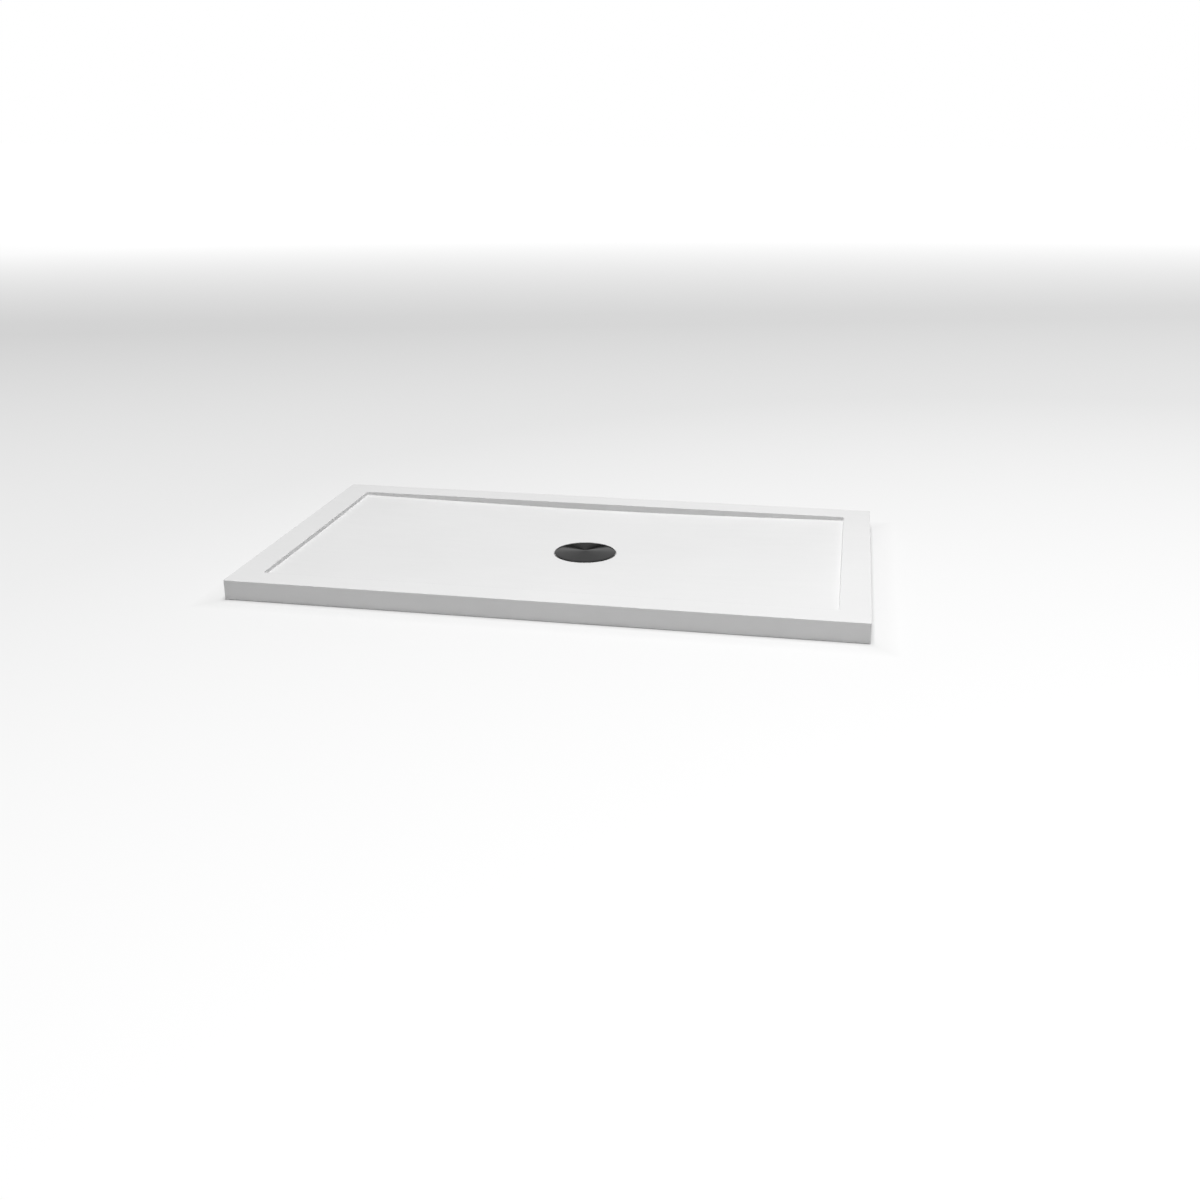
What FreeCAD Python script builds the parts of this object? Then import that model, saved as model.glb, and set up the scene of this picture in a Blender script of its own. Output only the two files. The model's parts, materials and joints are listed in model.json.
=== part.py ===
import FreeCAD, Part
import math
import os

# Low shower tray with a round waste. Millimetres, +Z up, +X along the length, +Y to the back.
# The origin is the middle of the underside, on the ground that the tray lies on.

# Tray
tray_length = 1400.0
tray_width = 800.0
rim_width = 66.0
corner_riser = 8.8            # height of the riser at the basin corner that is farthest from the waste
drain_depth = 22.2            # floor below the rim, at the edge of the waste recess
outer_corner_radius = 4.0
basin_corner_radius = 5.0
rim_edge_radius = 1.0
floor_foot_radius = 1.2
skirt_lift = 0.8              # the skirt ends this far above the ground, so the core bears the load
skin = 3.0
core_under_recess = 2.6

# Place and recess of the waste
drain_offset_x = 32.0
waste_hole_diameter = 90.0
recess_depth = 9.2
recess_edge_radius = 1.2

# Glass-fibre sheet in the core
mesh_thickness = 0.8
mesh_height = 3.0
mesh_margin = 12.0

# Waste body
underside_gap = 0.8           # the lowest waste piece stays this far above the ground
neck_wall = 3.0
neck_clearance = 1.2
flange_thickness = 2.2
flange_inset = 4.0            # the flange ends this far inside the cover's edge
sleeve_wall = 3.0
web_thickness = 2.2
boss_radius = 4.3
boss_height = 10.0
rib_thickness = 1.8
rib_count = 6
rib_rise = 2.0

# Pipe socket
pipe_diameter = 50.0
pipe_clearance = 0.3
socket_length = 4.0
socket_lead_in = 0.6
seal_height = 2.8
seal_wall = 3.2
seal_grip_clearance = 0.15
pipe_end_room = 1.2
pipe_stop_step = 1.5
pipe_stop_height = 0.6

# Rings, nut and screws
gasket_thickness = 1.2
ring_clearance = 0.3
lower_washer_thickness = 1.5
slip_washer_thickness = 0.7
thread_clearance = 0.05
nut_height = 5.0
nut_wall = 10.0
nut_lug_reach = 6.0
nut_lug_width = 10.0
nut_lug_count = 8
spanner_gap = 10.0
trim_thickness = 1.2
trim_edge_radius = 0.4
screw_count = 3
screw_diameter = 4.0
screw_hole_clearance = 0.2
screw_head_diameter = 7.0
screw_head_height = 1.8
screw_length = 9.0
screw_recess_width = 1.0
screw_recess_depth = 0.9
insert_wall = 0.9
insert_height = 6.0
insert_sink = 0.2

# Strainer
strainer_bore_diameter = 62.0
strainer_seat_step = 2.9
strainer_clearance = 0.8
seat_clearance = 0.4
strainer_wall = 1.2
strainer_seal_thickness = 1.0
strainer_seal_lift = 0.2
hub_wall = 1.7
hub_top = 1.4                 # the hub's top above the strainer's flange
hub_lip = 1.2
strainer_hole_diameter = 3.6
strainer_hole_land = 1.9      # least wall between neighbouring holes
slot_count = 18
slot_width = 3.0
slot_height = 2.4

# Cover
cover_diameter = 145.0
cover_edge_gap = 1.8          # water gap between the cover and the wall of its recess
cover_thickness = 1.4
cover_rise = 3.6              # the cover is a shallow cone, highest in the middle
water_gap = 5.2               # height of the gap between the trim and the cover's rim
cover_edge_radius = 0.6
stud_diameter = 9.0
stud_height = 2.8
carrier_gap = 0.1
arm_count = 3
arm_width = 7.0
arm_inset = 6.0               # the arms end this far inside the cover's edge
arm_turn = 60.0               # degrees from the first flange screw to the first arm
carrier_hub_diameter = 20.0
spigot_diameter = 10.0
spigot_clearance = 0.3
spigot_length = 5.0
foot_diameter = 8.0
foot_height = 1.0
foot_lift = 0.3
foot_stem_diameter = 3.0
foot_stem_height = 1.2
foot_inset = 12.0             # the feet stand this far inside the cover's edge
cover_screw_diameter = 3.0
cover_screw_head_diameter = 5.5
cover_screw_head_height = 1.6
cover_screw_sink = 0.4
cover_screw_clearance = 0.1
cover_screw_tip_room = 0.4

# Radii that follow
hole_radius = waste_hole_diameter / 2
cover_radius = cover_diameter / 2
recess_radius = cover_radius + cover_edge_gap
flange_radius = cover_radius - flange_inset
neck_radius = hole_radius - neck_clearance
neck_bore = neck_radius - neck_wall
strainer_bore = strainer_bore_diameter / 2
seat_radius = strainer_bore + strainer_seat_step
sleeve_radius = strainer_bore + sleeve_wall
boss_circle = (sleeve_radius + neck_bore) / 2
pipe_radius = pipe_diameter / 2
socket_radius = pipe_radius + pipe_clearance
seal_groove_radius = socket_radius + seal_wall
nut_radius = neck_radius + nut_wall
nut_reach = nut_radius + nut_lug_reach
pocket_radius = nut_reach + spanner_gap
screw_radius = screw_diameter / 2
insert_radius = screw_radius + insert_wall

# Heights that follow, from the ground up
nut_top = underside_gap + nut_height
slip_washer_top = nut_top + slip_washer_thickness
pocket_top = slip_washer_top + lower_washer_thickness
recess_underside = pocket_top + core_under_recess
recess_floor = recess_underside + skin
drain_floor = recess_floor + recess_depth
tray_height = drain_floor + drain_depth
flange_underside = recess_floor + gasket_thickness
flange_top = flange_underside + flange_thickness
trim_top = flange_top + trim_thickness
web_underside = flange_underside - web_thickness
seal_bottom = underside_gap + socket_lead_in + socket_length
seal_top = seal_bottom + seal_height
stop_bottom = seal_top + pipe_end_room
stop_top = stop_bottom + pipe_stop_height
strainer_seal_bottom = flange_underside + strainer_seal_lift
strainer_flange_bottom = strainer_seal_bottom + strainer_seal_thickness
strainer_flange_top = strainer_flange_bottom + strainer_wall
strainer_bottom = stop_top + strainer_clearance
hub_height = strainer_flange_top + hub_top
cover_rim_bottom = trim_top + water_gap
cover_rim_top = cover_rim_bottom + cover_thickness
cover_top = cover_rim_top + cover_rise
stud_bottom = cover_top - cover_thickness - stud_height
foot_bottom = trim_top + foot_lift
arm_bottom = foot_bottom + foot_height
spigot_bottom = hub_height - spigot_length

# Floor: one cone about the waste, from the recess edge up to the basin corner farthest from it
basin_half_length = tray_length / 2 - rim_width
basin_half_width = tray_width / 2 - rim_width
corner_distance = math.hypot(basin_half_length + abs(drain_offset_x), basin_half_width)
floor_fall = (drain_depth - corner_riser) / (corner_distance - recess_radius)

up = FreeCAD.Vector(0, 0, 1)
drain_axis = FreeCAD.Vector(drain_offset_x, 0, 0)
overcut = 5.0                 # cutting shapes run past the faces that they open


def revolved(profile):
    """Solid of revolution about the waste's axis, from (radius, height) points."""
    corners = [FreeCAD.Vector(radius, 0, height) for radius, height in profile]
    face = Part.Face(Part.makePolygon(corners + corners[:1]))
    solid = face.revolve(FreeCAD.Vector(0, 0, 0), up, 360)
    solid.translate(drain_axis)
    return solid


def ring(bore, radius, bottom, top):
    """Flat ring about the waste's axis."""
    return revolved([(bore, bottom), (radius, bottom), (radius, top), (bore, top)])


def disc(radius, bottom, top):
    """Upright cylinder about the waste's axis."""
    return Part.makeCylinder(radius, top - bottom, drain_axis + up * bottom, up)


def around_drain(shape, count, start=0.0):
    """Copies of a shape, evenly spaced about the waste's axis."""
    copies = []
    for index in range(count):
        copy = shape.copy()
        copy.rotate(drain_axis, up, start + index * 360.0 / count)
        copies.append(copy)
    return copies


def peg(distance, radius, bottom, top):
    """Upright cylinder at a distance from the waste's axis, along +X."""
    place = drain_axis + FreeCAD.Vector(distance, 0, bottom)
    return Part.makeCylinder(radius, top - bottom, place, up)


def bar(inner, outer, width, bottom, top):
    """Radial block from one distance to another, along +X from the waste's axis."""
    place = drain_axis + FreeCAD.Vector(inner, -width / 2, bottom)
    return Part.makeBox(outer - inner, width, top - bottom, place)


def slab(half_length, half_width, bottom, top, corner_radius):
    """Rectangular slab with rounded upright edges, centred on the origin."""
    place = FreeCAD.Vector(-half_length, -half_width, bottom)
    block = Part.makeBox(2 * half_length, 2 * half_width, top - bottom, place)
    upright = [edge for edge in block.Edges if edge.BoundBox.ZLength > (top - bottom) / 2]
    return block.makeFillet(corner_radius, upright)


def basin_space(growth):
    """Space above the basin's floor, grown on all sides into the tray by the given thickness."""
    half_length = basin_half_length + growth
    half_width = basin_half_width + growth
    sides = slab(half_length, half_width, 0, tray_height + overcut, basin_corner_radius + growth)
    reach = math.hypot(half_length + abs(drain_offset_x), half_width) + overcut
    apex = drain_floor - floor_fall * recess_radius - growth
    cone = revolved([
        (0, apex),
        (reach, apex + floor_fall * reach),
        (reach, tray_height + overcut),
        (0, tray_height + overcut),
    ])
    return sides.common(cone)


def recess_space(growth):
    """Space of the round waste recess, grown into the tray by the given thickness."""
    return disc(recess_radius + growth, recess_floor - growth, tray_height)


def edges_at(shape, low, high):
    """Edges that lie wholly between two heights."""
    return [edge for edge in shape.Edges if edge.BoundBox.ZMin > low and edge.BoundBox.ZMax < high]


def core_form():
    """Solid filled by the core and everything in it: the tray less its skin."""
    half_length = tray_length / 2 - skin
    half_width = tray_width / 2 - skin
    corner = max(outer_corner_radius - skin, rim_edge_radius)
    form = slab(half_length, half_width, 0, tray_height - skin, corner)
    form = form.cut(basin_space(skin))
    return form.cut(recess_space(skin))


def acrylic_cap():
    """Skin of the tray: rim, risers, floor, waste recess and outer skirt in one sheet."""
    cap = slab(tray_length / 2, tray_width / 2, skirt_lift, tray_height, outer_corner_radius)
    cap = cap.cut(basin_space(0))
    just = rim_edge_radius / 2
    cap = cap.makeFillet(floor_foot_radius, edges_at(cap, skirt_lift + just, tray_height - just))
    cap = cap.makeFillet(rim_edge_radius, edges_at(cap, tray_height - just, tray_height + just))
    cap = cap.cut(recess_space(0))
    recess_rim = [
        edge for edge in edges_at(cap, drain_floor - just, drain_floor + just)
        if edge.BoundBox.XLength < 2 * recess_radius + just
    ]
    cap = cap.makeFillet(recess_edge_radius, recess_rim)
    cap = cap.cut(core_form())
    return cap.cut(disc(hole_radius, 0, tray_height))


def reinforcing_mesh():
    """Sheet in the core, clear of its edges and of the nut pocket."""
    margin = skin + mesh_margin
    sheet = slab(
        tray_length / 2 - margin,
        tray_width / 2 - margin,
        mesh_height,
        mesh_height + mesh_thickness,
        mesh_margin,
    )
    return sheet.cut(disc(pocket_radius + mesh_margin, 0, tray_height))


def resin_core():
    """Casting between the skin and the ground, with the waste hole and the nut pocket."""
    core = core_form()
    core = core.cut(disc(hole_radius, -overcut, tray_height))
    core = core.cut(disc(pocket_radius, -overcut, pocket_top))
    return core.cut(reinforcing_mesh())


def sleeve():
    """Inner tube of the waste body, from the pipe socket up to the strainer's seat."""
    return revolved([
        (socket_radius + socket_lead_in, underside_gap),
        (sleeve_radius, underside_gap),
        (sleeve_radius, flange_underside),
        (strainer_bore, flange_underside),
        (strainer_bore, stop_top),
        (socket_radius - pipe_stop_step, stop_top),
        (socket_radius - pipe_stop_step, stop_bottom),
        (socket_radius, stop_bottom),
        (socket_radius, seal_top),
        (seal_groove_radius, seal_top),
        (seal_groove_radius, seal_bottom),
        (socket_radius, seal_bottom),
        (socket_radius, underside_gap + socket_lead_in),
    ])


def drain_body():
    """Waste body: flange, neck through the tray, web, sleeve, ribs and screw bosses."""
    flange = ring(seat_radius, flange_radius, flange_underside, flange_top)
    neck = ring(neck_bore, neck_radius, underside_gap, flange_underside)
    web = ring(strainer_bore, neck_radius, web_underside, flange_underside)
    boss = peg(boss_circle, boss_radius, flange_underside - boss_height, flange_underside)
    rib_inner = sleeve_radius - sleeve_wall / 2
    rib_outer = neck_bore + neck_wall / 2
    rib = bar(rib_inner, rib_outer, rib_thickness, underside_gap + rib_rise, flange_underside)
    bosses = around_drain(boss, screw_count)
    ribs = around_drain(rib, rib_count, 180.0 / rib_count)
    body = flange.multiFuse([neck, web, sleeve()] + bosses + ribs)
    pilot = peg(boss_circle, insert_radius, flange_top - insert_sink - insert_height, flange_top + overcut)
    shank = peg(boss_circle, screw_radius + screw_hole_clearance, trim_top - screw_length, flange_top)
    for hole in around_drain(pilot.fuse(shank), screw_count):
        body = body.cut(hole)
    return body.removeSplitter()


def flange_gasket():
    """Rubber ring between the flange and the floor of the recess."""
    return ring(neck_radius + ring_clearance, flange_radius, recess_floor, flange_underside)


def lower_washer():
    """Rubber ring between the tray's underside and the slip washer."""
    return ring(neck_radius + ring_clearance, nut_reach, slip_washer_top, pocket_top)


def slip_washer():
    """Thin ring that the nut turns against."""
    return ring(neck_radius + ring_clearance, nut_reach, nut_top, slip_washer_top)


def clamp_nut():
    """Nut with lugs for a spanner, on the neck of the waste body."""
    collar = disc(nut_radius, underside_gap, nut_top)
    lug = bar(0, nut_reach + nut_lug_width, nut_lug_width, underside_gap, nut_top)
    lugs = [piece.common(disc(nut_reach, underside_gap, nut_top)) for piece in around_drain(lug, nut_lug_count)]
    nut = collar.multiFuse(lugs)
    nut = nut.cut(disc(neck_radius + thread_clearance, 0, nut_top + overcut))
    return nut.removeSplitter()


def flange_trim():
    """Stainless ring on the flange, with the screw holes."""
    trim = ring(seat_radius, flange_radius, flange_top, trim_top)
    trim = trim.makeFillet(trim_edge_radius, edges_at(trim, flange_top, trim_top + overcut))
    hole = peg(boss_circle, screw_radius + screw_hole_clearance, flange_top - overcut, trim_top + overcut)
    for cutter in around_drain(hole, screw_count):
        trim = trim.cut(cutter)
    return trim


def cross_recess(distance, top, reach):
    """Cross-shaped driver recess, cut down from a screw head's face."""
    across = bar(distance - reach / 2, distance + reach / 2, screw_recess_width, top - screw_recess_depth, top)
    along = across.copy()
    along.rotate(drain_axis + FreeCAD.Vector(distance, 0, 0), up, 90)
    return across.fuse(along)


def flange_screws():
    """Round-headed screws that hold the trim."""
    head_top = trim_top + screw_head_height
    head = peg(boss_circle, screw_head_diameter / 2, trim_top, head_top)
    head = head.makeFillet(screw_head_height / 2, edges_at(head, trim_top, head_top + overcut))
    shank = peg(boss_circle, screw_radius, trim_top - screw_length, trim_top)
    recess = cross_recess(boss_circle, head_top, screw_head_diameter / 2)
    screw = head.fuse(shank).cut(recess)
    return Part.makeCompound(around_drain(screw, screw_count))


def thread_inserts():
    """Brass sleeves in the bosses, which the screws turn into."""
    top = flange_top - insert_sink
    sleeve_outer = peg(boss_circle, insert_radius, top - insert_height, top)
    bore = peg(boss_circle, screw_radius + thread_clearance, top - insert_height, top)
    return Part.makeCompound(around_drain(sleeve_outer.cut(bore), screw_count))


def outlet_seal():
    """Rubber ring in the groove of the pipe socket."""
    return ring(pipe_radius + seal_grip_clearance, seal_groove_radius, seal_bottom, seal_top)


def strainer_hole_circles(inner, outer):
    """Radii and counts of the rings of holes in the strainer's floor."""
    pitch = strainer_hole_diameter + strainer_hole_land
    first = inner + pitch / 2
    last = outer - pitch / 2
    steps = max(1, int((last - first) / pitch))
    for step in range(steps + 1):
        radius = first + (last - first) * step / steps
        yield radius, int(2 * math.pi * radius / pitch)


def strainer_basket():
    """Lift-out cup with a drilled floor, slotted wall, flange and a hub to hold it by."""
    wall_outer = strainer_bore - strainer_clearance
    wall_inner = wall_outer - strainer_wall
    hub_bore = spigot_diameter / 2 + spigot_clearance
    hub_outer = hub_bore + hub_wall
    floor_top = strainer_bottom + strainer_wall
    lip_bottom = hub_height - hub_lip
    basket = revolved([
        (0, strainer_bottom),
        (wall_outer, strainer_bottom),
        (wall_outer, strainer_flange_bottom),
        (seat_radius - seat_clearance, strainer_flange_bottom),
        (seat_radius - seat_clearance, strainer_flange_top),
        (wall_inner, strainer_flange_top),
        (wall_inner, floor_top),
        (hub_outer, floor_top),
        (hub_outer, lip_bottom),
        (hub_outer + hub_lip, lip_bottom),
        (hub_outer + hub_lip, hub_height),
        (hub_bore, hub_height),
        (hub_bore, floor_top),
        (0, floor_top),
    ])
    cutters = []
    for radius, count in strainer_hole_circles(hub_outer, wall_inner):
        hole = peg(radius, strainer_hole_diameter / 2, strainer_bottom - overcut, floor_top + overcut)
        cutters += around_drain(hole, count)
    slot = bar(hub_outer, wall_outer + overcut, slot_width, floor_top, floor_top + slot_height)
    slot = slot.cut(disc(wall_inner - strainer_wall, floor_top, floor_top + slot_height))
    cutters += around_drain(slot, slot_count)
    return basket.cut(cutters)


def strainer_seal():
    """Flat rubber ring under the strainer's flange."""
    return ring(
        strainer_bore - strainer_clearance,
        seat_radius - seat_clearance,
        strainer_seal_bottom,
        strainer_flange_bottom,
    )


def cone_under_cover(lift, bottom):
    """Space under the cover's top surface, moved by a lift, down to a height."""
    return revolved([
        (0, bottom),
        (cover_radius, bottom),
        (cover_radius, cover_rim_top + lift),
        (0, cover_top + lift),
    ])


def cover_plate():
    """Thin conical plate with a rounded edge and a threaded stud below."""
    plate = cone_under_cover(0, cover_rim_bottom)
    plate = plate.makeFillet(cover_edge_radius, edges_at(plate, cover_rim_bottom + carrier_gap, cover_top))
    plate = plate.cut(cone_under_cover(-cover_thickness, cover_rim_bottom - overcut))
    stud = disc(stud_diameter / 2, stud_bottom, cover_top - cover_thickness / 2)
    stud = stud.common(cone_under_cover(-cover_thickness / 2, stud_bottom))
    thread = disc(cover_screw_diameter / 2 + thread_clearance, stud_bottom, cover_top - cover_thickness)
    return plate.fuse(stud).cut(thread).removeSplitter()


def cover_carrier():
    """Hub with arms that follow the cover, and a spigot that drops into the strainer's hub."""
    arm = bar(0, cover_radius - arm_inset, arm_width, arm_bottom, cover_top)
    tip = peg(cover_radius - arm_inset, arm_width / 2, arm_bottom, cover_top)
    arms = around_drain(arm.fuse(tip), arm_count, arm_turn)
    hub = disc(carrier_hub_diameter / 2, arm_bottom, cover_top)
    space = cone_under_cover(-cover_thickness - carrier_gap, arm_bottom - overcut)
    carrier = hub.multiFuse(arms).common(space)
    carrier = carrier.fuse(disc(spigot_diameter / 2, spigot_bottom, arm_bottom + foot_height))
    head_room = cover_screw_head_diameter / 2 + cover_screw_clearance
    head_seat = spigot_bottom + cover_screw_sink + cover_screw_head_height
    carrier = carrier.cut(disc(head_room, spigot_bottom - overcut, head_seat))
    carrier = carrier.cut(disc(cover_screw_diameter / 2 + cover_screw_clearance, spigot_bottom, cover_top))
    carrier = carrier.cut(disc(stud_diameter / 2 + carrier_gap, stud_bottom, cover_top))
    stem_top = arm_bottom + foot_stem_height
    stem_hole = peg(cover_radius - foot_inset, foot_stem_diameter / 2, arm_bottom - overcut, stem_top)
    return carrier.cut(around_drain(stem_hole, arm_count, arm_turn)).removeSplitter()


def cover_screw():
    """Screw from below, through the carrier into the cover's stud."""
    head_bottom = spigot_bottom + cover_screw_sink
    head_top = head_bottom + cover_screw_head_height
    tip = cover_top - cover_thickness - cover_screw_tip_room
    head = disc(cover_screw_head_diameter / 2, head_bottom, head_top)
    shank = disc(cover_screw_diameter / 2, head_top, tip)
    recess = cross_recess(0, head_bottom + screw_recess_depth, cover_screw_head_diameter / 2)
    return head.fuse(shank).cut(recess)


def cover_feet():
    """Rubber feet, each with a stem in its arm."""
    distance = cover_radius - foot_inset
    pad = peg(distance, foot_diameter / 2, foot_bottom, arm_bottom)
    stem = peg(distance, foot_stem_diameter / 2, arm_bottom, arm_bottom + foot_stem_height)
    return Part.makeCompound(around_drain(pad.fuse(stem), arm_count, arm_turn))


pieces = {
    "acrylic_cap": acrylic_cap,
    "resin_core": resin_core,
    "reinforcing_mesh": reinforcing_mesh,
    "drain_body": drain_body,
    "flange_gasket": flange_gasket,
    "lower_washer": lower_washer,
    "slip_washer": slip_washer,
    "clamp_nut": clamp_nut,
    "flange_trim": flange_trim,
    "flange_screws": flange_screws,
    "thread_inserts": thread_inserts,
    "outlet_seal": outlet_seal,
    "strainer_basket": strainer_basket,
    "strainer_seal": strainer_seal,
    "cover_plate": cover_plate,
    "cover_carrier": cover_carrier,
    "cover_screw": cover_screw,
    "cover_feet": cover_feet,
}

os.makedirs("parts", exist_ok=True)
for name, make in pieces.items():
    shape = make()
    shape.exportStep("parts/" + name + ".step")
    print(name, len(shape.Solids), "solids", round(shape.Volume), "mm3")
print("tray height", round(tray_height, 3), "floor fall", round(floor_fall, 5))
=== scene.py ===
import json
import math

import bmesh
import bpy
from mathutils import Matrix, Vector


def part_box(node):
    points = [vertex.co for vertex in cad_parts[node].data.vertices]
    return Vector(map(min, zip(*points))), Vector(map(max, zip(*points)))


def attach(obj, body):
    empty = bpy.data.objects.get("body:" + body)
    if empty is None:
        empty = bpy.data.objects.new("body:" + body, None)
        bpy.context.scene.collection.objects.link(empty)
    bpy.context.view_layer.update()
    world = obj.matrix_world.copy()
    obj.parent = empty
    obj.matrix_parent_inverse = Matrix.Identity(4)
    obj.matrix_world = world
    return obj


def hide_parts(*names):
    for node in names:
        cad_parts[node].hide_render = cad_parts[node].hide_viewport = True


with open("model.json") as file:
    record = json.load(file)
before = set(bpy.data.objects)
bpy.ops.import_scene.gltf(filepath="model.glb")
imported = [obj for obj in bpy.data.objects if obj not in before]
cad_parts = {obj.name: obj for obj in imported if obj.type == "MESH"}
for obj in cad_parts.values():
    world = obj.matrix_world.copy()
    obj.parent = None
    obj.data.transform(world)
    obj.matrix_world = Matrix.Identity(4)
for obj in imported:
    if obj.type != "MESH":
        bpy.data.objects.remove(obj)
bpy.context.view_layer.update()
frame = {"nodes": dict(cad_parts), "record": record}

MM = 0.001


# ---------------------------------------------------------------- sizes, in metres

cap_low, cap_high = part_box("acrylic_cap")
cover_low, cover_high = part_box("cover_plate")
gasket_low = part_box("flange_gasket")[0]
half_length = cap_high.x
half_width = cap_high.y
rim_top = cap_high.z
skirt_bottom = cap_low.z
waste = Vector(((cover_low.x + cover_high.x) / 2, 0, 0))
cover_radius = (cover_high.x - cover_low.x) / 2
recess_floor = gasket_low.z

rim_width = 66 * MM
skin = 3 * MM
cover_gap = 1.8 * MM
corner_riser = 8.8 * MM
drain_depth = 22.2 * MM
outer_corner = 4 * MM
basin_corner = 5 * MM
rim_edge = 1 * MM
floor_foot = 1.2 * MM
recess_radius = cover_radius + cover_gap
recess_edge = 1.2 * MM
recess_foot = 0.8 * MM
hole_radius = 45 * MM
hole_edge = 0.5 * MM

basin_x = half_length - rim_width
basin_y = half_width - rim_width
corner_distance = math.hypot(basin_x + waste.x, basin_y)
floor_fall = (drain_depth - corner_riser) / (corner_distance - recess_radius)


def floor_height(x, y):
    """The basin's floor is one cone about the waste."""
    return rim_top - drain_depth + floor_fall * (math.hypot(x - waste.x, y - waste.y) - recess_radius)


# ---------------------------------------------------------------- mesh helpers

def finish_object(name, bm):
    """Object from a bmesh, smooth, with its normals outward."""
    bmesh.ops.recalc_face_normals(bm, faces=bm.faces)
    mesh = bpy.data.meshes.new(name)
    bm.to_mesh(mesh)
    bm.free()
    for polygon in mesh.polygons:
        polygon.use_smooth = True
    made = bpy.data.objects.new(name, mesh)
    bpy.context.scene.collection.objects.link(made)
    return made


def loft(name, loops):
    """Closed ring-shaped surface through loops of equally many points; the last loop joins the first."""
    bm = bmesh.new()
    rows = [[bm.verts.new(point) for point in loop] for loop in loops]
    count = len(rows[0])
    for row, following in zip(rows, rows[1:] + rows[:1]):
        for index in range(count):
            after = (index + 1) % count
            bm.faces.new((row[index], row[after], following[after], following[index]))
    return finish_object(name, bm)


def lathe(name, profile, segments):
    """Closed surface of revolution about the waste's axis, from an outline's (radius, height) points."""
    bm = bmesh.new()
    rows = []
    for radius, height in profile:
        if radius == 0:
            rows.append([bm.verts.new((waste.x, waste.y, height))])
            continue
        turns = [2 * math.pi * step / segments for step in range(segments)]
        rows.append([
            bm.verts.new((waste.x + radius * math.cos(turn), waste.y + radius * math.sin(turn), height))
            for turn in turns
        ])
    for row, following in zip(rows, rows[1:] + rows[:1]):
        if len(row) == 1 and len(following) == 1:
            continue
        for index in range(segments):
            after = (index + 1) % segments
            if len(row) == 1:
                bm.faces.new((row[0], following[after], following[index]))
            elif len(following) == 1:
                bm.faces.new((row[index], row[after], following[0]))
            else:
                bm.faces.new((row[index], row[after], following[after], following[index]))
    return finish_object(name, bm)


def arc(centre_r, centre_z, radius, start, end, steps):
    """Points of an arc in a (radius, height) outline, from one angle in degrees to another."""
    points = []
    for step in range(steps + 1):
        turn = math.radians(start + (end - start) * step / steps)
        points.append((centre_r + radius * math.cos(turn), centre_z + radius * math.sin(turn)))
    return points


# ---------------------------------------------------------------- the tray's skin

LONG_STEPS = 96                 # faces along a long side
SHORT_STEPS = 52                # faces along a short side
CORNER_STEPS = 6                # faces round a corner in plan
EDGE_STEPS = 6                  # faces across a rounded edge
FOOT_STEPS = 7                  # faces across the hollow between riser and floor
RECESS_FOOT_STEPS = 4
HOLE_EDGE_STEPS = 3
FLOOR_STEPS = 22                # rings of faces down the floor
UNDER_STEPS = 8                 # rings of faces under the floor
RIM_SHARES = (0.02, 0.1, 0.5, 0.9, 0.98)        # where the rim's loops lie, as shares of its flat width
RISER_SHARES = (0.08, 0.5, 0.92)                # where the riser's loops lie, as shares of its height


def rounded_rectangle(half_x, half_y, corner):
    """Plan outline from the right-hand front corner, anticlockwise."""
    corners = [
        (half_x - corner, corner - half_y, -90),
        (half_x - corner, half_y - corner, 0),
        (corner - half_x, half_y - corner, 90),
        (corner - half_x, corner - half_y, 180),
    ]
    points = []
    for index, (x, y, start) in enumerate(corners):
        for step in range(CORNER_STEPS + 1):
            turn = math.radians(start + 90 * step / CORNER_STEPS)
            points.append((x + corner * math.cos(turn), y + corner * math.sin(turn)))
        next_x, next_y, next_start = corners[(index + 1) % 4]
        turn = math.radians(next_start)
        goal = (next_x + corner * math.cos(turn), next_y + corner * math.sin(turn))
        from_x, from_y = points[-1]
        steps = SHORT_STEPS if index % 2 == 0 else LONG_STEPS
        for step in range(1, steps):
            share = step / steps
            points.append((from_x + (goal[0] - from_x) * share, from_y + (goal[1] - from_y) * share))
    return points


def inset_outline(inset, corner):
    """Plan outline at a distance inside the tray's outer face."""
    return rounded_rectangle(half_length - inset, half_width - inset, corner)


def level_loop(inset, corner, height):
    """Loop at one height, at a distance inside the tray's outer face."""
    return [(x, y, height) for x, y in inset_outline(inset, corner)]


def floor_loop(inset, corner, lift):
    """Loop that follows the floor, at a height above it."""
    return [(x, y, floor_height(x, y) + lift) for x, y in inset_outline(inset, corner)]


def circle_like(outline, radius):
    """Circle about the waste, each point in the direction of the outline's point."""
    points = []
    for x, y in outline:
        away = Vector((x - waste.x, y - waste.y)).normalized()
        points.append((waste.x + away.x * radius, waste.y + away.y * radius))
    return points


def floor_loops(outline, last_radius, steps, drop):
    """Loops from a plan outline down the cone to a circle about the waste."""
    circle = circle_like(outline, last_radius)
    loops = []
    for step in range(1, steps + 1):
        share = step / steps
        plan = [(x + (u - x) * share, y + (v - y) * share) for (x, y), (u, v) in zip(outline, circle)]
        loops.append([(x, y, floor_height(x, y) - drop) for x, y in plan])
    return loops


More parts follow.
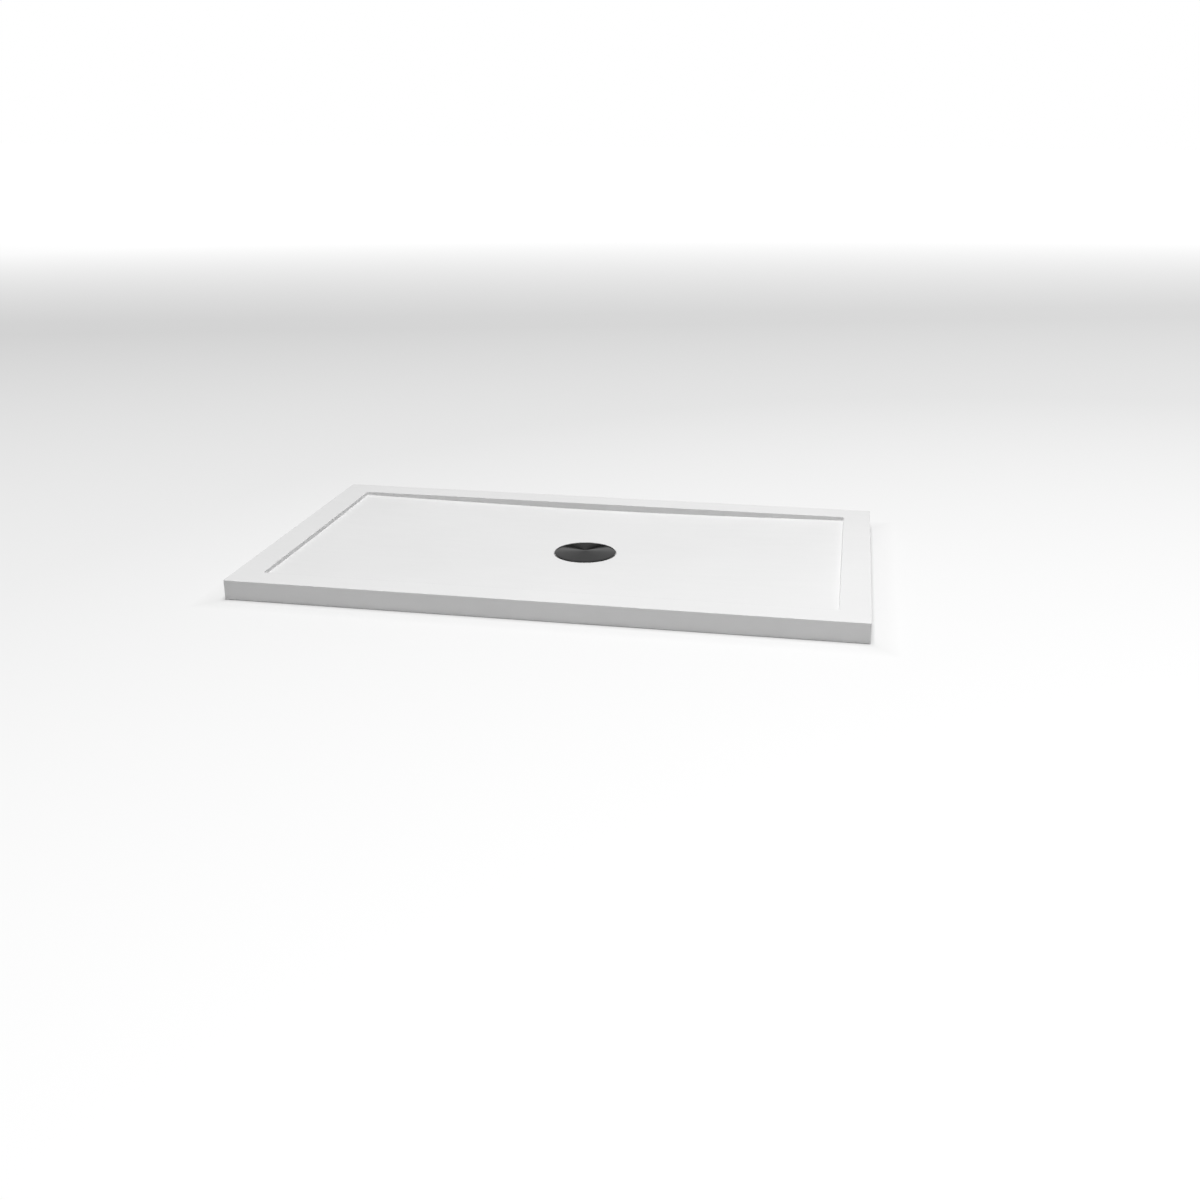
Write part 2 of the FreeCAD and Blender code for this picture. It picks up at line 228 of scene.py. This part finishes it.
def top_loops():
    """From the skirt's foot over the rim and down the riser to the floor's foot."""
    loops = [level_loop(0, outer_corner, height) for height in (
        skirt_bottom,
        skirt_bottom + rim_edge,
        (skirt_bottom + rim_top) / 2,
        rim_top - 2 * rim_edge,
        rim_top - 1.2 * rim_edge,
    )]
    for across, height in arc(rim_edge, rim_top - rim_edge, rim_edge, 180, 90, EDGE_STEPS):
        loops.append(level_loop(across, outer_corner - across, height))
    for share in RIM_SHARES:
        inset = rim_edge + (rim_width - 2 * rim_edge) * share
        corner = outer_corner - rim_edge + (basin_corner + 2 * rim_edge - outer_corner) * share
        loops.append(level_loop(inset, corner, rim_top))
    for across, height in arc(rim_width - rim_edge, rim_top - rim_edge, rim_edge, 90, 0, EDGE_STEPS):
        loops.append(level_loop(across, basin_corner + rim_width - across, height))
    wall = inset_outline(rim_width, basin_corner)
    top = rim_top - rim_edge
    for share in RISER_SHARES:
        loops.append([
            (x, y, top + (floor_height(x, y) + floor_foot - top) * share) for x, y in wall
        ])
    for across, lift in arc(floor_foot, floor_foot, floor_foot, 180, 270, FOOT_STEPS):
        loops.append(floor_loop(rim_width + across, basin_corner - across, lift))
    return loops


def recess_loops(outline):
    """From the floor's edge down the wall of the waste recess, to the hole through it."""
    edge_height = rim_top - drain_depth
    foot_centre = (recess_radius - recess_foot, recess_floor + recess_foot)
    profile = arc(recess_radius + recess_edge, edge_height - recess_edge, recess_edge, 90, 180, EDGE_STEPS)
    profile += [(recess_radius, recess_floor + 2 * recess_foot)]
    profile += arc(*foot_centre, recess_foot, 0, -90, RECESS_FOOT_STEPS)
    profile += [(recess_radius - 3 * recess_foot, recess_floor)]
    profile += [(hole_radius + 3 * hole_edge, recess_floor)]
    profile += arc(hole_radius + hole_edge, recess_floor - hole_edge, hole_edge, 90, 180, HOLE_EDGE_STEPS)
    profile += [(hole_radius, recess_floor - skin)]
    loops = []
    for radius, height in profile:
        loops.append([(x, y, height) for x, y in circle_like(outline, radius)])
    return loops


def under_loops(outline):
    """The skin's back: under the recess, the floor and the rim, and down inside the skirt."""
    back_radius = recess_radius + skin
    loops = [[(x, y, recess_floor - skin) for x, y in circle_like(outline, back_radius)]]
    back_plan = inset_outline(rim_width - skin, basin_corner + skin)
    down = floor_loops(back_plan, back_radius, UNDER_STEPS, skin)
    loops += down[::-1]
    loops.append([(x, y, floor_height(x, y) - skin) for x, y in back_plan])
    loops.append(level_loop(rim_width - skin, basin_corner + skin, rim_top - skin))
    loops.append(level_loop(skin, outer_corner - skin / 2, rim_top - skin))
    loops.append(level_loop(skin, outer_corner - skin / 2, skirt_bottom))
    return loops


def tray_skin():
    """Acrylic skin in one closed surface, all rounded edges included."""
    loops = top_loops()
    foot_plan = inset_outline(rim_width + floor_foot, basin_corner - floor_foot)
    near_plan = inset_outline(rim_width + 2 * floor_foot, basin_corner)
    loops.append([(x, y, floor_height(x, y)) for x, y in near_plan])
    loops += floor_loops(near_plan, recess_radius + 3 * recess_edge, FLOOR_STEPS, 0)
    loops += recess_loops(foot_plan)
    loops += under_loops(foot_plan)
    piece = loft("tray_skin", loops)
    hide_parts("acrylic_cap")
    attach(piece, "tray")
    return piece


# ---------------------------------------------------------------- the waste's cover

COVER_SEGMENTS = 192
COVER_RINGS_MM = (1, 2, 3, 4, 5, 6, 8, 12, 20, 30, 40, 50, 58, 63, 66)      # closer together on the point


def cover_disc():
    """Conical cover plate: soft point, rolled edge and stud below."""
    edge = 0.6 * MM
    edge_start = 88             # degrees, nearly square to the cone's slope
    edge_steps = 5
    thickness = 1.4 * MM
    stud_radius = 4.5 * MM
    stud_height = 2.8 * MM
    thread_radius = 1.55 * MM
    thread_depth = 2.2 * MM
    tip_radius = 6 * MM
    rise = 3.6 * MM
    top = cover_high.z
    rim_upper = top - rise
    slope = rise / cover_radius
    tip_drop = slope * tip_radius / 2
    stud_end = top - tip_drop - thickness - stud_height

    def surface(radius):
        """Height of the upper face, a cone with a rounded point."""
        if radius < tip_radius:
            return top - tip_drop - slope * radius * radius / (2 * tip_radius)
        return top - slope * radius

    profile = [(0, surface(0))]
    for ring in COVER_RINGS_MM:
        profile.append((ring * MM, surface(ring * MM)))
    profile += arc(cover_radius - edge, rim_upper - edge, edge, edge_start, 0, edge_steps)
    profile += [
        (cover_radius, rim_upper - thickness + edge / 3),
        (cover_radius - edge / 3, rim_upper - thickness),
        (cover_radius - 3 * edge, rim_upper - thickness + 3 * edge * slope),
        (stud_radius, surface(stud_radius) - thickness),
        (stud_radius, surface(stud_radius) - thickness - stud_height / 2),
        (stud_radius, stud_end),
        (thread_radius, stud_end),
        (thread_radius, stud_end + thread_depth),
        (0, stud_end + thread_depth),
    ]
    piece = lathe("cover_disc", profile, COVER_SEGMENTS)
    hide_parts("cover_plate")
    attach(piece, "cover")
    return piece


# ---------------------------------------------------------------- materials

def principled(name, colour, roughness, metallic=0.0):
    """New node material with its plain values; returns it with its tree and shader."""
    material = bpy.data.materials.new(name)
    material.use_nodes = True
    tree = material.node_tree
    shader = tree.nodes["Principled BSDF"]
    shader.inputs["Base Color"].default_value = (*colour, 1)
    shader.inputs["Roughness"].default_value = roughness
    shader.inputs["Metallic"].default_value = metallic
    return material, tree, shader


def place(tree, stretch=(1, 1, 1), shift=(0, 0, 0)):
    """Object coordinates in metres, stretched and then shifted."""
    coordinates = tree.nodes.new("ShaderNodeTexCoord")
    mapping = tree.nodes.new("ShaderNodeMapping")
    mapping.inputs["Scale"].default_value = stretch
    mapping.inputs["Location"].default_value = shift
    tree.links.new(coordinates.outputs["Object"], mapping.inputs["Vector"])
    return mapping.outputs["Vector"]


def noise(tree, vector, scale, detail, roughness=0.5):
    """Noise texture's value."""
    node = tree.nodes.new("ShaderNodeTexNoise")
    node.inputs["Scale"].default_value = scale
    node.inputs["Detail"].default_value = detail
    node.inputs["Roughness"].default_value = roughness
    tree.links.new(vector, node.inputs["Vector"])
    return node.outputs["Fac"]


def spread(tree, value, low, high, from_low=0.3, from_high=0.7):
    """Value brought from one range, by default the one that noise mostly keeps to, into another."""
    node = tree.nodes.new("ShaderNodeMapRange")
    node.inputs["From Min"].default_value = from_low
    node.inputs["From Max"].default_value = from_high
    node.inputs["To Min"].default_value = low
    node.inputs["To Max"].default_value = high
    tree.links.new(value, node.inputs["Value"])
    return node.outputs["Result"]


def arithmetic(tree, operation, first, second):
    """Result of a Math node on two outputs."""
    node = tree.nodes.new("ShaderNodeMath")
    node.operation = operation
    tree.links.new(first, node.inputs[0])
    tree.links.new(second, node.inputs[1])
    return node.outputs[0]


def blend_colours(tree, factor, first, second):
    """Blend of two colours, each a tuple or another node's output."""
    # sockets of the Mix node in its colour mode
    factor_socket, first_socket, second_socket, result_socket = 0, 6, 7, 2
    node = tree.nodes.new("ShaderNodeMix")
    node.data_type = "RGBA"
    for socket, colour in ((node.inputs[first_socket], first), (node.inputs[second_socket], second)):
        if isinstance(colour, tuple):
            socket.default_value = (*colour, 1)
        else:
            tree.links.new(colour, socket)
    tree.links.new(factor, node.inputs[factor_socket])
    return node.outputs[result_socket]


def bump(tree, shader, height, distance, strength):
    """Relief on the shader's normal; its distance is in metres."""
    node = tree.nodes.new("ShaderNodeBump")
    node.inputs["Distance"].default_value = distance
    node.inputs["Strength"].default_value = strength
    tree.links.new(height, node.inputs["Height"])
    tree.links.new(node.outputs["Normal"], shader.inputs["Normal"])


WAVES_PER_METRE = 3             # of a Wave texture at scale 1, nearly


def rings(tree, pitch, distortion):
    """Fine turning marks about the waste's axis."""
    wave = tree.nodes.new("ShaderNodeTexWave")
    wave.wave_type = "RINGS"
    wave.rings_direction = "Z"
    wave.inputs["Scale"].default_value = 1 / (pitch * WAVES_PER_METRE)
    wave.inputs["Distortion"].default_value = distortion
    wave.inputs["Detail"].default_value = 2
    wave.inputs["Detail Scale"].default_value = 4
    tree.links.new(place(tree, shift=(-waste.x, 0, 0)), wave.inputs["Vector"])
    return wave.outputs["Fac"]


def white_acrylic():
    """Gloss white skin: faint cloud in the colour, uneven gloss and a very fine skin texture."""
    material, tree, shader = principled("white_acrylic", (0.8, 0.8, 0.8), 0.2)
    here = place(tree)
    cloud = spread(tree, noise(tree, here, 2.2, 3), 0, 1)
    tint = blend_colours(tree, cloud, (0.79, 0.79, 0.79), (0.82, 0.82, 0.82))
    tree.links.new(tint, shader.inputs["Base Color"])
    wiped = noise(tree, place(tree, stretch=(1, 6, 1)), 9, 6, 0.6)
    tree.links.new(spread(tree, wiped, 0.17, 0.26), shader.inputs["Roughness"])
    shader.inputs["IOR"].default_value = 1.49
    skin_texture = noise(tree, here, 260, 3, 0.45)
    bump(tree, shader, skin_texture, 0.02 * MM, 0.6)
    return material


def dark_chrome():
    """Polished dark plating with faint turning marks and wiped smudges."""
    material, tree, shader = principled("dark_chrome", (0.1, 0.1, 0.1), 0.1, 1.0)
    here = place(tree)
    cloud = spread(tree, noise(tree, here, 40, 5, 0.6), 0, 1)
    tint = blend_colours(tree, cloud, (0.092, 0.092, 0.094), (0.112, 0.112, 0.112))
    tree.links.new(tint, shader.inputs["Base Color"])
    smudge = noise(tree, place(tree, stretch=(1, 2.5, 1)), 55, 6, 0.65)
    tree.links.new(spread(tree, smudge, 0.03, 0.07), shader.inputs["Roughness"])
    bump(tree, shader, rings(tree, 0.5 * MM, 0.3), 0.004 * MM, 0.35)
    return material


def stainless():
    """Turned stainless steel."""
    material, tree, shader = principled("stainless", (0.6, 0.59, 0.57), 0.25, 1.0)
    lines = rings(tree, 0.35 * MM, 1.2)
    cloud = noise(tree, place(tree), 60, 5, 0.6)
    tint = blend_colours(tree, spread(tree, cloud, 0, 1), (0.56, 0.55, 0.53), (0.66, 0.65, 0.63))
    tree.links.new(tint, shader.inputs["Base Color"])
    tree.links.new(spread(tree, lines, 0.18, 0.34, 0, 1), shader.inputs["Roughness"])
    bump(tree, shader, lines, 0.01 * MM, 0.5)
    return material


def brass():
    """Turned brass."""
    material, tree, shader = principled("insert_brass", (0.7, 0.52, 0.25), 0.3, 1.0)
    cloud = noise(tree, place(tree), 300, 4, 0.6)
    tint = blend_colours(tree, spread(tree, cloud, 0, 1), (0.62, 0.45, 0.2), (0.78, 0.6, 0.3))
    tree.links.new(tint, shader.inputs["Base Color"])
    tree.links.new(spread(tree, cloud, 0.22, 0.4), shader.inputs["Roughness"])
    bump(tree, shader, cloud, 0.01 * MM, 0.4)
    return material


def moulded(name, dark, light, low_gloss, high_gloss):
    """Moulded plastic: even colour with faint flow clouds and a fine spark-eroded grain."""
    material, tree, shader = principled(name, dark, (low_gloss + high_gloss) / 2)
    here = place(tree)
    flow = noise(tree, place(tree, stretch=(1, 1, 3)), 35, 3)
    tint = blend_colours(tree, spread(tree, flow, 0, 1), dark, light)
    tree.links.new(tint, shader.inputs["Base Color"])
    sheen = spread(tree, noise(tree, here, 90, 4), low_gloss, high_gloss)
    tree.links.new(sheen, shader.inputs["Roughness"])
    bump(tree, shader, noise(tree, here, 2600, 2, 0.6), 0.03 * MM, 0.35)
    return material


def black_rubber():
    """Rubber: nearly black, dull, with a dusting of paler bloom."""
    material, tree, shader = principled("black_rubber", (0.02, 0.02, 0.02), 0.75)
    here = place(tree)
    bloom = spread(tree, noise(tree, here, 140, 6, 0.7), 0, 1, 0.45, 0.8)
    tint = blend_colours(tree, bloom, (0.018, 0.018, 0.018), (0.05, 0.05, 0.05))
    tree.links.new(tint, shader.inputs["Base Color"])
    tree.links.new(spread(tree, noise(tree, here, 400, 3), 0.6, 0.85), shader.inputs["Roughness"])
    bump(tree, shader, noise(tree, here, 1500, 3, 0.6), 0.04 * MM, 0.5)
    return material


def stone_resin():
    """Cast resin with crushed stone: mottled warm grey with grains and small pores."""
    material, tree, shader = principled("stone_resin", (0.6, 0.58, 0.55), 0.8)
    here = place(tree)
    mottle = spread(tree, noise(tree, here, 9, 5), 0, 1)
    base = blend_colours(tree, mottle, (0.56, 0.545, 0.51), (0.66, 0.645, 0.61))
    grains = tree.nodes.new("ShaderNodeTexVoronoi")
    grains.inputs["Scale"].default_value = 420
    tree.links.new(here, grains.inputs["Vector"])
    grain = spread(tree, grains.outputs["Distance"], 1, 0, 0.08, 0.22)
    speckled = blend_colours(tree, grain, base, (0.4, 0.385, 0.36))
    tree.links.new(speckled, shader.inputs["Base Color"])
    tree.links.new(spread(tree, noise(tree, here, 160, 4), 0.65, 0.9), shader.inputs["Roughness"])
    bump(tree, shader, noise(tree, here, 500, 5, 0.65), 0.25 * MM, 0.6)
    return material


def glass_fibre():
    """Woven glass strands in resin."""
    material, tree, shader = principled("glass_fibre", (0.7, 0.71, 0.67), 0.55)
    weave = tree.nodes.new("ShaderNodeTexBrick")
    weave.inputs["Scale"].default_value = 120
    weave.inputs["Color1"].default_value = (0.72, 0.73, 0.69, 1)
    weave.inputs["Color2"].default_value = (0.64, 0.66, 0.61, 1)
    weave.inputs["Mortar"].default_value = (0.5, 0.51, 0.46, 1)
    tree.links.new(place(tree), weave.inputs["Vector"])
    tree.links.new(weave.outputs["Color"], shader.inputs["Base Color"])
    bump(tree, shader, weave.outputs["Fac"], 0.1 * MM, 0.5)
    return material


def dress(objects):
    """Gives each replaced piece and each shown node the material of its slot."""
    materials = {
        "white_acrylic": white_acrylic(),
        "dark_chrome": dark_chrome(),
        "stainless": stainless(),
        "insert_brass": brass(),
        "black_abs": moulded("black_abs", (0.022, 0.022, 0.024), (0.034, 0.034, 0.036), 0.38, 0.52),
        "grey_abs": moulded("grey_abs", (0.27, 0.28, 0.29), (0.33, 0.34, 0.35), 0.34, 0.48),
        "white_plastic": moulded("white_plastic", (0.7, 0.7, 0.68), (0.77, 0.77, 0.75), 0.35, 0.5),
        "black_rubber": black_rubber(),
        "stone_resin": stone_resin(),
        "glass_fibre": glass_fibre(),
    }
    slots = {row["node"]: row["material_slot"] for row in frame["record"]["subparts"]}
    for name, node in frame["nodes"].items():
        node.data.materials.clear()
        node.data.materials.append(materials[slots[name]])
    for piece, slot in objects:
        piece.data.materials.append(materials[slot])


# ---------------------------------------------------------------- stage, light and camera

def seen_directly(tree):
    """1 for rays from the camera, from gloss and through glass, 0 for the light that falls on things."""
    path = tree.nodes.new("ShaderNodeLightPath")
    either = arithmetic(tree, "MAXIMUM", path.outputs["Is Camera Ray"], path.outputs["Is Glossy Ray"])
    return arithmetic(tree, "MAXIMUM", either, path.outputs["Is Transmission Ray"])


FLOOR_REACH = 35.0
FLOOR_CELLS = 40
FLOOR_GREY = 0.7                                # for the light that the floor throws on things
FLOOR_SEEN_GREY = 0.45                          # to the eye, which has the rest from the floor's glow
FLOOR_GLOW = (0.406, 0.834)                     # painted light: glow round a point and far from it
FLOOR_GLOW_REACH = (2.8, 9.8)                   # distances at which it has those strengths
FLOOR_GLOW_CENTRE = (1.6, -0.6)
FLOOR_GLOW_SLANT = (-0.211, 0.211)              # further painted light, behind the tray and in front of it
FLOOR_GLOW_SLANT_REACH = (-4.0, 4.0)
FLOOR_GLOW_SLANT_WAY = (0.2786, -0.9604, 0)     # towards the front
FLOOR_FADE_REACH = (-18.6, -3.6)                # far behind the tray the floor fades into the white world
FLOOR_PAINTED_SHADE = 0.77                              # painted shade: share of the glow kept at the tray's foot
FLOOR_PAINTED_SHADE_REACH = 0.06                        # how far from the tray the painted shade reaches before the glow is whole again


def outside_tray_painted_shade(tree):
    """1 on the open floor, less beside the tray as painted shade where the tray hides some of the room,
    and 0 under it.
    """
    split = tree.nodes.new("ShaderNodeSeparateXYZ")
    tree.links.new(place(tree), split.inputs["Vector"])
    beyond = []
    for axis, half in (("X", half_length), ("Y", half_width)):
        away = tree.nodes.new("ShaderNodeMath")
        away.operation = "ABSOLUTE"
        tree.links.new(split.outputs[axis], away.inputs[0])
        past = tree.nodes.new("ShaderNodeMath")
        past.operation = "SUBTRACT"
        tree.links.new(away.outputs[0], past.inputs[0])
        past.inputs[1].default_value = half
        beyond.append(past.outputs[0])
    gap = arithmetic(tree, "MAXIMUM", *beyond)
    outside = tree.nodes.new("ShaderNodeMath")
    outside.operation = "GREATER_THAN"
    outside.inputs[1].default_value = 0
    tree.links.new(gap, outside.inputs[0])
    # painted shade: the floor's glow dimmed close to the tray's sides
    shade = spread(tree, gap, FLOOR_PAINTED_SHADE, 1, 0, FLOOR_PAINTED_SHADE_REACH)
    return arithmetic(tree, "MULTIPLY", outside.outputs[0], shade)


def painted_floor_light(tree):
    """How strongly the open floor glows, by place: painted light, lighter and darker across the floor."""
    centre_x, centre_y = FLOOR_GLOW_CENTRE
    distance = tree.nodes.new("ShaderNodeVectorMath")
    distance.operation = "LENGTH"
    tree.links.new(place(tree, shift=(-centre_x, -centre_y, 0)), distance.inputs[0])
    slant = tree.nodes.new("ShaderNodeVectorMath")
    slant.operation = "DOT_PRODUCT"
    tree.links.new(place(tree), slant.inputs[0])
    slant.inputs[1].default_value = FLOOR_GLOW_SLANT_WAY
    away, along = distance.outputs["Value"], slant.outputs["Value"]
    glow = spread(tree, away, *FLOOR_GLOW, *FLOOR_GLOW_REACH)
    slanted = spread(tree, along, *FLOOR_GLOW_SLANT, *FLOOR_GLOW_SLANT_REACH)
    fade = spread(tree, along, 1, 0, *FLOOR_FADE_REACH)
    return arithmetic(tree, "ADD", arithmetic(tree, "ADD", glow, slanted), fade)


def studio_floor():
    """Pale floor. To the eye much of its paleness is its own glow, painted light that changes by place, so
    the tray's shadow on it is faint.
    """
    bm = bmesh.new()
    bmesh.ops.create_grid(bm, x_segments=FLOOR_CELLS, y_segments=FLOOR_CELLS, size=FLOOR_REACH)
    floor = finish_object("studio_floor", bm)
    material = bpy.data.materials.new("studio_floor")
    material.use_nodes = True
    tree = material.node_tree
    tree.nodes.remove(tree.nodes["Principled BSDF"])
    seen = seen_directly(tree)
    diffuse = tree.nodes.new("ShaderNodeBsdfDiffuse")
    tint = blend_colours(tree, seen, (FLOOR_GREY,) * 3, (FLOOR_SEEN_GREY,) * 3)
    tree.links.new(tint, diffuse.inputs["Color"])
    # glow only to the eye, off under the tray and dimmed beside it as painted shade
    open_floor_painted_shade = arithmetic(tree, "MULTIPLY", seen, outside_tray_painted_shade(tree))
    shown = arithmetic(tree, "MULTIPLY", painted_floor_light(tree), open_floor_painted_shade)
    emission = tree.nodes.new("ShaderNodeEmission")
    tree.links.new(shown, emission.inputs["Strength"])
    both = tree.nodes.new("ShaderNodeAddShader")
    tree.links.new(diffuse.outputs[0], both.inputs[0])
    tree.links.new(emission.outputs[0], both.inputs[1])
    tree.links.new(both.outputs[0], tree.nodes["Material Output"].inputs["Surface"])
    floor.data.materials.append(material)


AMBIENT = 0.08                  # the world's even light on things
SKY = (                         # height of a reflected direction (its Z) and the grey seen there
    (0.08, 0.95), (0.17, 0.3), (0.213, 0.2), (0.233, 0.04), (0.25, 0.02),
    (0.272, 0.6), (0.3, 0.47), (0.33, 0.38), (0.45, 0.32), (1.0, 0.4),
)
WHITE = (1.0, 1.0, 1.0)


def studio_world():
    """White to the eye, even and faint on things, and a horizon, a dark gap and a soft sky in gloss."""
    world = bpy.data.worlds.new("studio")
    bpy.context.scene.world = world
    world.use_nodes = True
    tree = world.node_tree
    background = tree.nodes["Background"]
    coordinates = tree.nodes.new("ShaderNodeTexCoord")
    split = tree.nodes.new("ShaderNodeSeparateXYZ")
    tree.links.new(coordinates.outputs["Generated"], split.inputs[0])
    sky = tree.nodes.new("ShaderNodeValToRGB")
    sky.color_ramp.interpolation = "EASE"
    ramp = sky.color_ramp.elements
    ramp[0].position, ramp[1].position = SKY[0][0], SKY[-1][0]
    for height, _ in SKY[1:-1]:
        ramp.new(height)
    for element, (_, grey) in zip(ramp, SKY):
        element.color = (grey, grey, grey, 1)
    tree.links.new(split.outputs["Z"], sky.inputs["Fac"])
    path = tree.nodes.new("ShaderNodeLightPath")
    for_gloss = blend_colours(tree, path.outputs["Is Glossy Ray"], (AMBIENT,) * 3, sky.outputs["Color"])
    for_eye = blend_colours(tree, path.outputs["Is Camera Ray"], for_gloss, WHITE)
    tree.links.new(for_eye, background.inputs["Color"])
    background.inputs["Strength"].default_value = 1.0


LAMP_SIDES = (4.0, 5.8)
LAMP_POWER = 1160               # watts
LAMP_PLACE = Vector((0.5, -0.45, 9.0))
LAMP_AIM = Vector((6.8, -2.4, 0))


def overhead_lamp():
    """Large soft lamp high above the tray, its first side level. It shows in no reflection."""
    data = bpy.data.lights.new("overhead", "AREA")
    data.shape = "RECTANGLE"
    data.size, data.size_y = LAMP_SIDES
    data.energy = LAMP_POWER
    lamp = bpy.data.objects.new("overhead", data)
    lamp.visible_glossy = False
    lamp.location = LAMP_PLACE
    back = (LAMP_PLACE - LAMP_AIM).normalized()
    across = (Vector((1, 0, 0)) - back * back.x).normalized()
    lamp.rotation_euler = Matrix((across, back.cross(across), back)).transposed().to_euler()
    bpy.context.scene.collection.objects.link(lamp)


PHOTO_PX = 1200
FOCAL_PX = 1307.05
SENSOR_MM = 36.0
CAMERA_PLACE = (0.61335, -2.90293, 1.01437)
CAMERA_DIP = 0.359518           # radians below level
CAMERA_TURN = 0.185668          # radians to the left of straight back


def photo_camera():
    """Camera of the photograph, found from the tray's corners in it."""
    data = bpy.data.cameras.new("photo_camera")
    data.sensor_width = SENSOR_MM
    data.lens = SENSOR_MM * FOCAL_PX / PHOTO_PX
    data.clip_end = 200
    camera = bpy.data.objects.new("photo_camera", data)
    camera.location = CAMERA_PLACE
    camera.rotation_euler = (math.radians(90) - CAMERA_DIP, 0, CAMERA_TURN)
    bpy.context.scene.collection.objects.link(camera)
    bpy.context.scene.camera = camera


skin_piece = tray_skin()
cover_piece = cover_disc()
dress([(skin_piece, "white_acrylic"), (cover_piece, "dark_chrome")])
studio_floor()
studio_world()
overhead_lamp()
photo_camera()
bpy.context.scene.view_settings.view_transform = "Standard"
